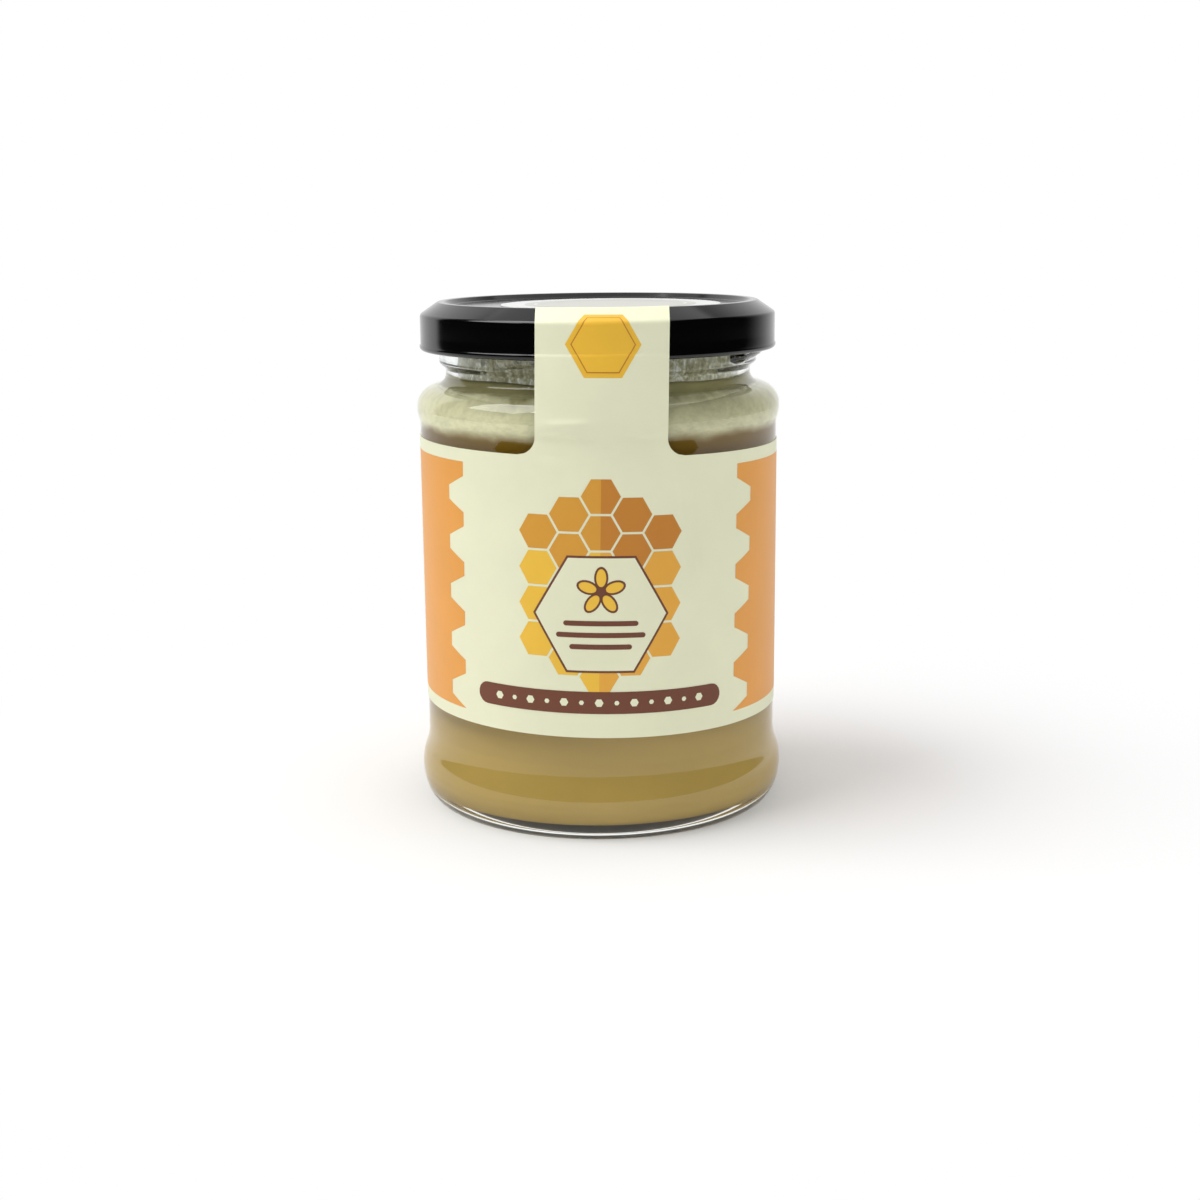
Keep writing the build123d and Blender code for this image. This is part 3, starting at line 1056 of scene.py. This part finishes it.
def build_fields(scene):
    """Side fields: orange from a honeycomb edge round to near the label's ends.

    The inner edge goes in and out in straight steps, one half cell each period.
    """
    place, inks = LabelSurface(scene), scene.honey_jar_print
    ink = paper_finish("orange_ink", inks.orange, roughness=0.42)
    end = (math.pi * place.glass.body_radius - place.paper.gap / 2) / MM - FIELD_MARGIN
    steps = FIELD_PERIOD * np.add.outer(np.arange(-3, 4), FIELD_STEPS[:-1]).ravel()
    levels = [np.linspace(-FIELD_TOP, FIELD_TOP, 72), steps[np.abs(steps) < FIELD_TOP]]
    rises = np.unique(np.concatenate(levels))
    near = np.interp((rises / FIELD_PERIOD) % 1.0, FIELD_STEPS, FIELD_EDGE)
    far = np.full(len(rises), end)
    fields = [
        ink_patch(
            place.ink_on_jar,
            np.column_stack([first, rises]),
            np.column_stack([second, rises]),
            inks.lift,
        )
        for first, second in ((near, far), (-far, -near))
    ]
    return put_print("side_fields", [(ink, field) for field in fields])


def build_emblem(scene):
    """Emblem: a comb of amber and gold cells behind a cream window with a blossom."""
    place = LabelSurface(scene)
    inks, paper = scene.honey_jar_print, scene.honey_jar_paper
    amber = (paper_finish("amber_ink", inks.amber), paper_finish("dark_amber_ink", inks.amber_dark))
    gold = (paper_finish("gold_ink", inks.gold), paper_finish("dark_gold_ink", inks.gold_dark))
    cream = paper_finish("cream_ink", paper.stock)
    brown = paper_finish("brown_ink", inks.brown)

    def printed(ink, corners, layer, **cut):
        return ink, polygon_patch(place.ink_on_jar, corners, layer * inks.lift, **cut)

    column_gap = CELL_PITCH * math.sqrt(3) / 2
    cells = []
    for column, rise in CELLS:
        shades = amber if rise > AMBER_RISE else gold
        corners = hexagon(column * column_gap, rise, CELL_RADIUS)
        if column <= 0:
            cells.append(printed(shades[0], corners, 1, sides=(-99, 0)))
        if column >= 0:
            cells.append(printed(shades[1], corners, 1, sides=(0, 99)))
    put_print("comb_cells", cells)

    middle, window_rise = WINDOW_CENTRE
    window = [
        printed(brown, hexagon(middle, window_rise, WINDOW_RADIUS), 2),
        printed(cream, hexagon(middle, window_rise, WINDOW_RADIUS - WINDOW_LINE), 3),
    ]
    for k in range(PETALS):
        turn = math.pi / 2 + k * 2 * math.pi / PETALS
        side = middle + PETAL_REACH * math.cos(turn)
        rise = BLOSSOM_RISE + PETAL_REACH * math.sin(turn)
        window.append(printed(brown, oval(side, rise, *PETAL_RIM, turn), 4))
        window.append(printed(gold[0], oval(side, rise, *PETAL, turn), 5))
    window.append(printed(brown, oval(middle, BLOSSOM_RISE, 1.0, 1.0, 0), 6))
    for rise, half_length in WINDOW_RULES:
        window.append(printed(brown, pill(middle, rise, half_length, WINDOW_RULE_HALF), 4))
    put_print("window", window)

    banner = [printed(brown, pill(0, BANNER_RISE, *BANNER), 2)]
    for k in range(-BANNER_DOTS, BANNER_DOTS + 1):
        radius = BANNER_DOT_RADII[k % 2]
        banner.append(printed(cream, hexagon(k * BANNER_DOT_GAP, BANNER_RISE, radius), 3))
    return put_print("banner", banner)


def build_seal(scene):
    """Seal on the strip: a hexagon with a thin darker line inside its edge."""
    place, inks = LabelSurface(scene), scene.honey_jar_print
    seal = paper_finish("seal_ink", inks.seal)
    line = paper_finish("seal_line_ink", inks.amber_dark)
    rise = place.rise_at(SEAL_HEIGHT) / MM
    layers = zip((seal, line, seal), SEAL_RADII)
    return put_print("strip_seal", [
        (ink, polygon_patch(
            place.ink_on_strip, hexagon(SEAL_SIDE, rise, radius), layer * inks.lift, SEAL_STEP
        ))
        for layer, (ink, radius) in enumerate(layers, start=1)
    ])


# ---------------------------------------------------------------- stage


def soft_lamp(name, direction, distance, size, power):
    """Square area lamp that looks at the jar from a direction."""
    light = bpy.data.lights.new(name, "AREA")
    light.shape = "SQUARE"
    light.size = size
    light.energy = power
    lamp = bpy.data.objects.new(name, light)
    toward = Vector(direction).normalized()
    lamp.location = Vector(LAMP_TARGET) + toward * distance
    lamp.rotation_euler = toward.to_track_quat("Z", "Y").to_euler()
    bpy.context.collection.objects.link(lamp)


def floor_finish(stage):
    """White floor that shows the jar's shadow and fades to plain white further off."""
    material, shading, shader = new_material("floor_white")
    shading.fill(shader, {
        "Base Color": FLOOR_TINT, "Roughness": 0.9, "Specular IOR Level": 0.0
    })
    ray = shading.add("LightPath").outputs
    seen = shading.maths("MAXIMUM", ray["Is Camera Ray"], ray["Is Transmission Ray"])
    seen = shading.maths("MAXIMUM", seen, ray["Is Glossy Ray"])
    glow = shading.add("Emission", {"Strength": shading.maths("MULTIPLY", seen, stage.floor_glow)})
    near = shading.add("AddShader", {0: shader.outputs["BSDF"], 1: glow.outputs["Emission"]})
    place = shading.add("TexCoord").outputs["Object"]
    away = shading.add("VectorMath", {0: place}, operation="LENGTH").outputs["Value"]
    far = shading.maths("MULTIPLY", shading.between(away, *FLOOR_FADE), seen)
    white = shading.add("Emission")
    shading.surface(far, near.outputs["Shader"], white.outputs["Emission"])
    return material


def world_light(stage):
    """World: white for the camera, a white backdrop behind the jar and dark in front of it.

    That is what gloss and glass show. Diffuse light is soft and grows towards the right.
    """
    world = bpy.data.worlds.new("studio")
    bpy.context.scene.world = world
    world.use_nodes = True
    shading = Shading(world.node_tree)
    across = shading.axis("X", "Generated")
    back = shading.axis("Y", "Generated")
    left = shading.between(back, *BACKDROP_LEFT, DARK_FRONT, stage.back)
    right = shading.between(back, *BACKDROP_RIGHT, DARK_FRONT, stage.back)
    reflected = shading.blend("FLOAT", shading.between(across, -0.05, 0.05), left, right)
    seen_through = shading.between(back, -0.1, 0.25, 0.15, stage.back)
    low, high = (share * stage.sky for share in SKY_SHARES)
    soft = shading.between(across, -1.0, 1.0, low, high)
    ray = shading.add("LightPath").outputs
    value = shading.blend("FLOAT", ray["Is Diffuse Ray"], reflected, soft)
    value = shading.blend("FLOAT", ray["Is Transmission Ray"], value, seen_through)
    value = shading.blend("FLOAT", ray["Is Camera Ray"], value, 1.0)
    shading.fill(shading.nodes["Background"], {"Strength": value, "Color": (1, 1, 1)})


def build_stage(scene):
    """Floor disc, three soft lamps, world and camera."""
    stage = scene.honey_jar_stage
    a = np.arange(FLOOR_SIDES) / FLOOR_SIDES * 2 * math.pi
    points = np.column_stack([
        FLOOR_RADIUS * np.sin(a),
        FLOOR_RADIUS * (0.5 + np.cos(a)),
        np.full(FLOOR_SIDES, FLOOR_HEIGHT),
    ])
    face = list(range(FLOOR_SIDES))[::-1]
    floor = put_mesh("floor", points, [face], floor_finish(stage), smooth=False)
    soft_lamp("key_lamp", (-0.93, -0.2, 1.25), 1.2, 0.85, stage.key_power)
    soft_lamp("streak_lamp", (-0.66, -0.62, 0.85), 1.2, 0.1, stage.streak_power)
    soft_lamp("top_lamp", (0.0, 0.02, 1.0), 1.0, 1.3, stage.top_power)
    world_light(stage)

    camera_data = bpy.data.cameras.new("camera")
    camera_data.sensor_width = 36
    camera_data.lens = stage.lens
    camera_data.clip_start = 0.01
    camera = bpy.data.objects.new("camera", camera_data)
    turn = Matrix.Rotation(math.pi / 2 - stage.camera_pitch, 4, "X")
    roll = Matrix.Rotation(stage.camera_roll, 4, "Z")
    spot = Matrix.Translation((0, -stage.camera_distance, stage.camera_height))
    camera.matrix_world = spot @ turn @ roll
    bpy.context.collection.objects.link(camera)
    scene.camera = camera
    scene.view_settings.view_transform = "Standard"


# ---------------------------------------------------------------- add-on


class HONEYJAR_OT_glass(Operator):
    """Build the glass jar"""

    bl_idname = "honey_jar.glass"
    bl_label = "Glass Jar"

    def execute(self, context):
        build_glass(context.scene)
        return {"FINISHED"}


class HONEYJAR_OT_honey(Operator):
    """Build the set honey in the jar"""

    bl_idname = "honey_jar.honey"
    bl_label = "Honey"

    def execute(self, context):
        build_honey(context.scene)
        build_film(context.scene)
        return {"FINISHED"}


class HONEYJAR_OT_lid(Operator):
    """Build the twist-off lid"""

    bl_idname = "honey_jar.lid"
    bl_label = "Lid"

    def execute(self, context):
        build_lid(context.scene)
        return {"FINISHED"}


class HONEYJAR_OT_paper(Operator):
    """Build the label with its strip, and the lid's sticker"""

    bl_idname = "honey_jar.paper"
    bl_label = "Label and Sticker"

    def execute(self, context):
        build_label(context.scene)
        build_sticker(context.scene)
        return {"FINISHED"}


class HONEYJAR_OT_print(Operator):
    """Build the label's print"""

    bl_idname = "honey_jar.print"
    bl_label = "Print"

    def execute(self, context):
        build_fields(context.scene)
        build_emblem(context.scene)
        build_seal(context.scene)
        return {"FINISHED"}


class HONEYJAR_OT_stage(Operator):
    """Build the floor, the lamps, the world and the camera"""

    bl_idname = "honey_jar.stage"
    bl_label = "Stage"

    def execute(self, context):
        build_stage(context.scene)
        return {"FINISHED"}


OPERATORS = (
    HONEYJAR_OT_glass,
    HONEYJAR_OT_honey,
    HONEYJAR_OT_lid,
    HONEYJAR_OT_paper,
    HONEYJAR_OT_print,
    HONEYJAR_OT_stage,
)
SETTINGS = {
    "honey_jar_glass": HoneyJarGlass,
    "honey_jar_honey": HoneyJarHoney,
    "honey_jar_lid": HoneyJarLid,
    "honey_jar_paper": HoneyJarPaper,
    "honey_jar_print": HoneyJarPrint,
    "honey_jar_stage": HoneyJarStage,
}


class HONEYJAR_PT_panel(Panel):
    """Buttons for each piece, and the sizes and colours they use."""

    bl_idname = "HONEYJAR_PT_panel"
    bl_label = "Honey Jar"
    bl_space_type = "VIEW_3D"
    bl_region_type = "UI"
    bl_category = "Honey Jar"

    def draw(self, context):
        layout = self.layout
        for operator in OPERATORS:
            layout.operator(operator.bl_idname)
        for name, group in SETTINGS.items():
            box = layout.box()
            box.label(text=group.__name__)
            for prop in group.__annotations__:
                box.prop(getattr(context.scene, name), prop)


def register():
    """Register the classes and put the settings on the scene."""
    for cls in (*SETTINGS.values(), *OPERATORS, HONEYJAR_PT_panel):
        bpy.utils.register_class(cls)
    for name, group in SETTINGS.items():
        setattr(bpy.types.Scene, name, PointerProperty(type=group))


def unregister():
    """Take the settings off the scene and unregister the classes."""
    for name in SETTINGS:
        delattr(bpy.types.Scene, name)
    for cls in reversed((*SETTINGS.values(), *OPERATORS, HONEYJAR_PT_panel)):
        bpy.utils.unregister_class(cls)


def main():
    """Build every piece in order."""
    register()
    bpy.ops.honey_jar.glass()
    bpy.ops.honey_jar.honey()
    bpy.ops.honey_jar.lid()
    bpy.ops.honey_jar.paper()
    bpy.ops.honey_jar.print()
    bpy.ops.honey_jar.stage()


if __name__ == "__main__":
    main()
